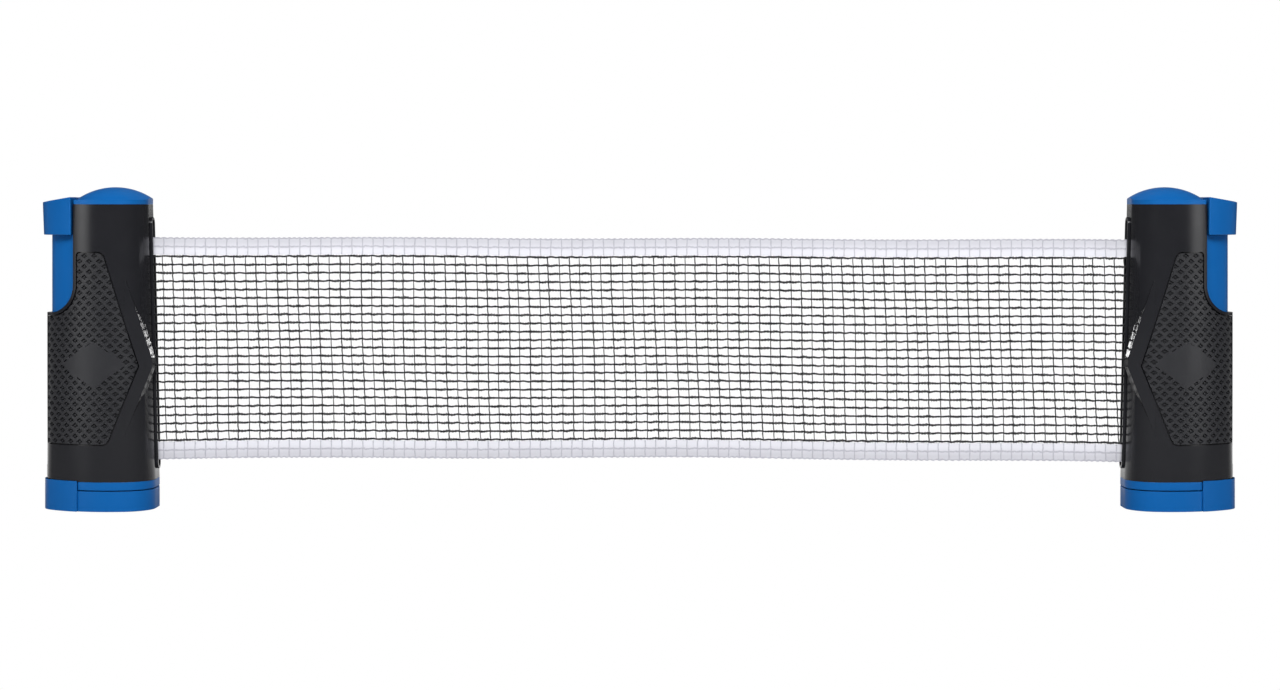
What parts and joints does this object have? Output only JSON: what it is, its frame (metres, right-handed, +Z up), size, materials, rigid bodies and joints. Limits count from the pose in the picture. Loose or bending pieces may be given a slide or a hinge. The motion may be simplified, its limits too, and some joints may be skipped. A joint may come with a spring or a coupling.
{
  "type": "table tennis net set",
  "caption": "retractable table tennis net on a sprung roller between two spring clamps with press handles",
  "frame": {"origin": "midway between the two clamps, on the plane that their lower jaws rest on", "axes": "+X along the net towards the clamp with the anchor rod, +Y from the front to the rear, +Z up"},
  "size_m": [0.7756, 0.052, 0.208],
  "materials": {
    "shell": "black satin moulded plastic",
    "grip": "black soft grip with a diamond texture",
    "blue": "blue satin moulded plastic",
    "pad": "black rubber pad",
    "steel": "plated steel",
    "natural": "natural acetal",
    "inner_black": "black moulded plastic",
    "net": "black twisted net cord",
    "tape": "thin white woven tape"
  },
  "bodies": {
    "left_clamp": {"left_front_shell": "shell", "left_rear_shell": "shell", "left_front_grip": "grip", "left_rear_grip": "grip", "left_top_cap": "blue", "left_slot_guide": "shell", "left_upper_jaw": "blue", "left_upper_jaw_pad": "pad", "left_slider_spring": "steel", "left_spring_seat": "inner_black", "left_shell_screws": "steel", "left_upper_jaw_screws": "steel", "roller_axle": "steel", "net_mesh": "net", "net_top_tape": "tape", "net_bottom_tape": "tape"},
    "left_slider": {"left_clamp_slider": "blue", "left_lower_jaw": "blue", "left_lower_jaw_pad": "pad", "left_lower_jaw_screws": "steel"},
    "roller": {"roller_tube": "steel", "roller_spring": "steel", "roller_top_bush": "natural", "roller_bottom_bush": "natural", "net_clamp_strip": "natural", "net_roll": "net"},
    "right_clamp": {"right_front_shell": "shell", "right_rear_shell": "shell", "right_front_grip": "grip", "right_rear_grip": "grip", "right_top_cap": "blue", "right_slot_guide": "shell", "right_upper_jaw": "blue", "right_upper_jaw_pad": "pad", "right_slider_spring": "steel", "right_spring_seat": "inner_black", "right_shell_screws": "steel", "right_upper_jaw_screws": "steel", "net_anchor_rod": "steel"},
    "right_slider": {"right_clamp_slider": "blue", "right_lower_jaw": "blue", "right_lower_jaw_pad": "pad", "right_lower_jaw_screws": "steel"}
  },
  "joints": [
    {"name": "left_press", "type": "slide", "parent": "left_clamp", "child": "left_slider", "axis": [0, 0, -1], "range_m": [0, 0.037], "stiffness_N_per_m": 250, "springref_m": -0.03, "deforming": ["left_slider_spring"]},
    {"name": "net_pull_out", "type": "slide", "parent": "left_clamp", "child": "right_clamp", "axis": [1, 0, 0], "range_m": [-0.62, 1.06], "deforming": ["net_mesh", "net_top_tape", "net_bottom_tape"]},
    {"name": "roller_turn", "type": "hinge", "parent": "left_clamp", "child": "roller", "pos_m": [-0.341, 0, 0.1], "axis": [0, 0, 1], "continuous": true},
    {"name": "right_press", "type": "slide", "parent": "right_clamp", "child": "right_slider", "axis": [0, 0, -1], "range_m": [0, 0.037], "stiffness_N_per_m": 250, "springref_m": -0.03, "deforming": ["right_slider_spring"]}
  ],
  "couplings": [
    {"joint": "roller_turn", "follows": "net_pull_out", "rad_per_m": 66}
  ]
}
